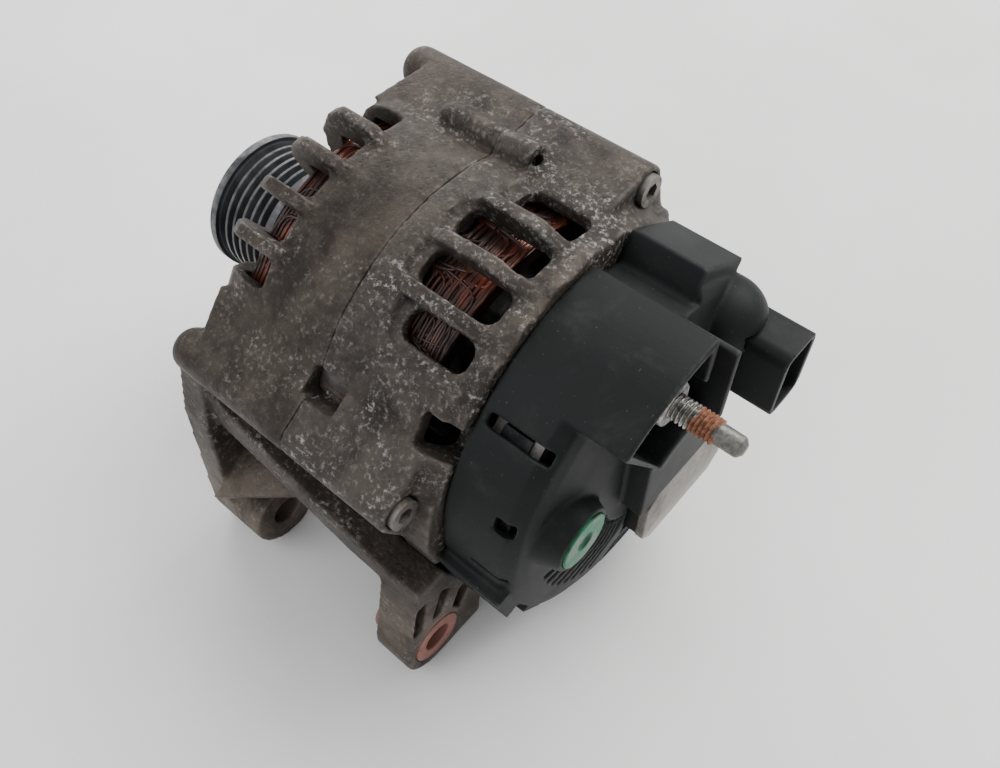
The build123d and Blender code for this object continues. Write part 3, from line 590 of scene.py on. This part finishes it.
def wire_tree():
    """One arch of wire copied to every slot in layers, wrapped round the shaft and made thick."""
    tree = bpy.data.node_groups.new("end_turn_wires", "GeometryNodeTree")
    tree.interface.new_socket("Geometry", in_out="INPUT", socket_type="NodeSocketGeometry")
    for label, kind, default in WIRE_INPUTS:
        socket = tree.interface.new_socket(label, in_out="INPUT", socket_type=kind)
        if default is not None:
            socket.default_value = default
    tree.interface.new_socket("Geometry", in_out="OUTPUT", socket_type="NodeSocketGeometry")
    ins = tree.nodes.new("NodeGroupInput").outputs
    out = tree.nodes.new("NodeGroupOutput")
    index = tree.nodes.new("GeometryNodeInputIndex").outputs[0]
    slot = gn_math(tree, "MODULO", index, ins["Slots"])
    layer = gn_math(tree, "FLOOR", gn_math(tree, "DIVIDE", index, ins["Slots"]))
    levels = gn_math(tree, "ADD", ins["Layers"], 1.0)
    level = gn_math(tree, "DIVIDE", gn_math(tree, "ADD", layer, 1.6), levels)
    count = gn_math(tree, "MULTIPLY", ins["Slots"], ins["Layers"])
    line = gn_node(tree, "GeometryNodeMeshLine", {"Count": count})
    angle = gn_math(tree, "MULTIPLY", gn_math(tree, "DIVIDE", slot, ins["Slots"]), TAU)
    angle = gn_math(tree, "ADD", angle, gn_random(tree, -0.02, 0.02, 4))
    depth = gn_random(tree, 0.0, ins["Spread"], 7)
    place_at = gn_node(tree, "ShaderNodeCombineXYZ", {0: 0.0, 1: angle, 2: depth}).outputs[0]
    points = gn_node(tree, "GeometryNodeSetPosition", {"Geometry": line.outputs[0], "Position": place_at})
    height = gn_math(tree, "MULTIPLY", gn_math(tree, "MULTIPLY", level, ins["Reach"]),
                     gn_random(tree, 0.93, 1.0, 11))
    stretch = gn_node(tree, "ShaderNodeCombineXYZ", {0: height, 1: 1.0, 2: 1.0}).outputs[0]
    arches = gn_node(tree, "GeometryNodeInstanceOnPoints",
                     {"Points": points.outputs[0], "Instance": ins["Geometry"], "Scale": stretch})
    named = gn_node(tree, "GeometryNodeStoreNamedAttribute",
                    {"Geometry": arches.outputs[0], "Name": "strand"}, data_type="FLOAT", domain="INSTANCE")
    tree.links.new(gn_random(tree, 0.0, 1.0, 19), named.inputs["Value"])
    real = gn_node(tree, "GeometryNodeRealizeInstances", {"Geometry": named.outputs[0]})
    curve = gn_node(tree, "GeometryNodeMeshToCurve", {"Mesh": real.outputs[0]})
    position = tree.nodes.new("GeometryNodeInputPosition").outputs[0]
    at = gn_node(tree, "ShaderNodeSeparateXYZ", {0: position}).outputs
    waver = gn_node(tree, "ShaderNodeTexNoise", {"Scale": 9.0, "Detail": 1.0}).outputs["Fac"]
    waver = gn_math(tree, "MULTIPLY", gn_math(tree, "SUBTRACT", waver, 0.5), 0.0006)
    radius = gn_math(tree, "SUBTRACT", ins["Radius"], at[2])
    along = gn_math(tree, "ADD", gn_math(tree, "MULTIPLY", at[0], ins["Direction"]), ins["Face X"])
    along = gn_math(tree, "ADD", along, waver)
    across = gn_math(tree, "MULTIPLY", gn_math(tree, "MULTIPLY", radius, gn_math(tree, "SINE", at[1])), -1.0)
    up = gn_math(tree, "MULTIPLY", radius, gn_math(tree, "COSINE", at[1]))
    wrap = gn_node(tree, "ShaderNodeCombineXYZ", {0: along, 1: across, 2: up}).outputs[0]
    wrapped = gn_node(tree, "GeometryNodeSetPosition", {"Geometry": curve.outputs[0], "Position": wrap})
    ring = gn_node(tree, "GeometryNodeCurvePrimitiveCircle", {"Resolution": 6, "Radius": ins["Wire"]})
    solid = gn_node(tree, "GeometryNodeCurveToMesh", {"Curve": wrapped.outputs[0],
                                                      "Profile Curve": ring.outputs[0],
                                                      "Fill Caps": True})
    smooth = gn_node(tree, "GeometryNodeSetShadeSmooth", {"Geometry": solid.outputs[0]})
    painted = gn_node(tree, "GeometryNodeSetMaterial",
                      {"Geometry": smooth.outputs[0], "Material": ins["Material"]})
    tree.links.new(painted.outputs[0], out.inputs[0])
    return tree


def end_turns(name, tree, face_x, direction, reach):
    """Wires of one end of the winding, leaving the core and running round it in bands."""
    pitch = TAU / 6
    arch = [(0.0, 0.0), (0.5, 0.012), (0.85, 0.03), (0.97, 0.055), (1.0, 0.09)]
    arch += [(1.0 - 0.012 * math.sin(i * 1.7), 0.09 + (pitch - 0.18) * i / 14) for i in range(1, 14)]
    arch += [(x, pitch - a) for x, a in reversed(arch[:5])]
    mesh = bpy.data.meshes.new(name)
    mesh.from_pydata([(x, a, 0.0) for x, a in arch], [(i, i + 1) for i in range(len(arch) - 1)], [])
    obj = bpy.data.objects.new(name, mesh)
    bpy.context.scene.collection.objects.link(obj)
    modifier = obj.modifiers.new("wires", "NODES")
    modifier.node_group = tree
    settings = {"Slots": 36, "Layers": 11, "Face X": face_x, "Reach": reach, "Direction": direction,
                "Radius": 0.0549, "Spread": 0.0022, "Wire": 0.00058, "Material": FINISHES["copper"]}
    for item in tree.interface.items_tree:
        if item.in_out == "INPUT" and item.name in settings:
            modifier[item.identifier] = settings[item.name]
    obj.data.update()
    result = baked(obj)
    bpy.data.objects.remove(obj)
    piece = bpy.data.objects.new(name, result)
    bpy.context.scene.collection.objects.link(piece)
    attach(piece, "housing")
    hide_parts("stator_windings")


def winding_core():
    """Tightly wound wire behind the outer layers: one ring at each end of the core, in a darker copy of the
    winding copper as painted shade.
    """
    for name, low, high in (("front_packed_wire", 39.2, 54.5), ("rear_packed_wire", 87.5, 106.4)):
        profile = [(low, 48.4), (low + 1.5, 47.7), (high, 47.7), (high, 53.4), (low + 2.0, 53.4),
                   (low + 0.4, 52.2)]
        if low > 60:
            profile = [(low + high - x, r) for x, r in profile]
        obj = lathe(name, profile, "housing", segments=180)
        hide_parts("stator_windings")
        wear(obj, "packed_copper_painted_shade")


WIRES = wire_tree()
end_turns("rear_end_wires", WIRES, 0.0885, 1.0, 0.0190)
end_turns("front_end_wires", WIRES, 0.0535, -1.0, 0.0150)
winding_core()


# ---------------------------------------------------------------- floor, light and camera
def floor():
    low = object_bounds()[0].z
    size = 3.0
    mesh = bpy.data.meshes.new("floor")
    mesh.from_pydata([(-size, -size, low), (size, -size, low), (size, size, low), (-size, size, low)], [],
                     [(0, 1, 2, 3)])
    obj = bpy.data.objects.new("floor", mesh)
    bpy.context.scene.collection.objects.link(obj)
    mesh.materials.append(pale_floor("floor_white"))
    obj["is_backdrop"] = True


def lamp(name, location, target, size, watts, color=(1, 1, 1)):
    light = bpy.data.lights.new(name, "AREA")
    light.energy = watts
    light.size = size
    light.color = color
    obj = bpy.data.objects.new(name, light)
    obj.location = location
    obj.rotation_mode = "QUATERNION"
    obj.rotation_quaternion = (Vector(target) - Vector(location)).to_track_quat("-Z", "Y")
    bpy.context.scene.collection.objects.link(obj)


def studio():
    world = bpy.data.worlds.new("studio")
    world.use_nodes = True
    world.node_tree.nodes["Background"].inputs[0].default_value = (0.93, 0.95, 1.0, 1)
    world.node_tree.nodes["Background"].inputs[1].default_value = 0.80
    bpy.context.scene.world = world
    middle = (0.08, 0, 0)
    lamp("key", (0.35, 0.75, 0.95), middle, 0.9, 21, (1.0, 0.99, 0.97))
    lamp("fill", (-0.4, -0.9, 0.9), middle, 1.2, 9, (0.95, 0.97, 1.0))
    lamp("rim", (-0.7, 0.5, 0.5), middle, 0.7, 7)


def camera():
    lens = bpy.data.cameras.new("camera")
    lens.lens = 34.8
    lens.sensor_width = 36.0
    lens.clip_start = 0.01
    obj = bpy.data.objects.new("camera", lens)
    right, up, back = (0.7593, 0.6507, 0.0), (-0.5198, 0.6065, 0.6016), (0.3915, -0.4568, 0.7988)
    turn = Matrix((right, up, back)).transposed()
    obj.matrix_world = Matrix.Translation((0.2187, -0.14385, 0.2365)) @ turn.to_4x4()
    bpy.context.scene.collection.objects.link(obj)
    bpy.context.scene.camera = obj


floor()
studio()
camera()
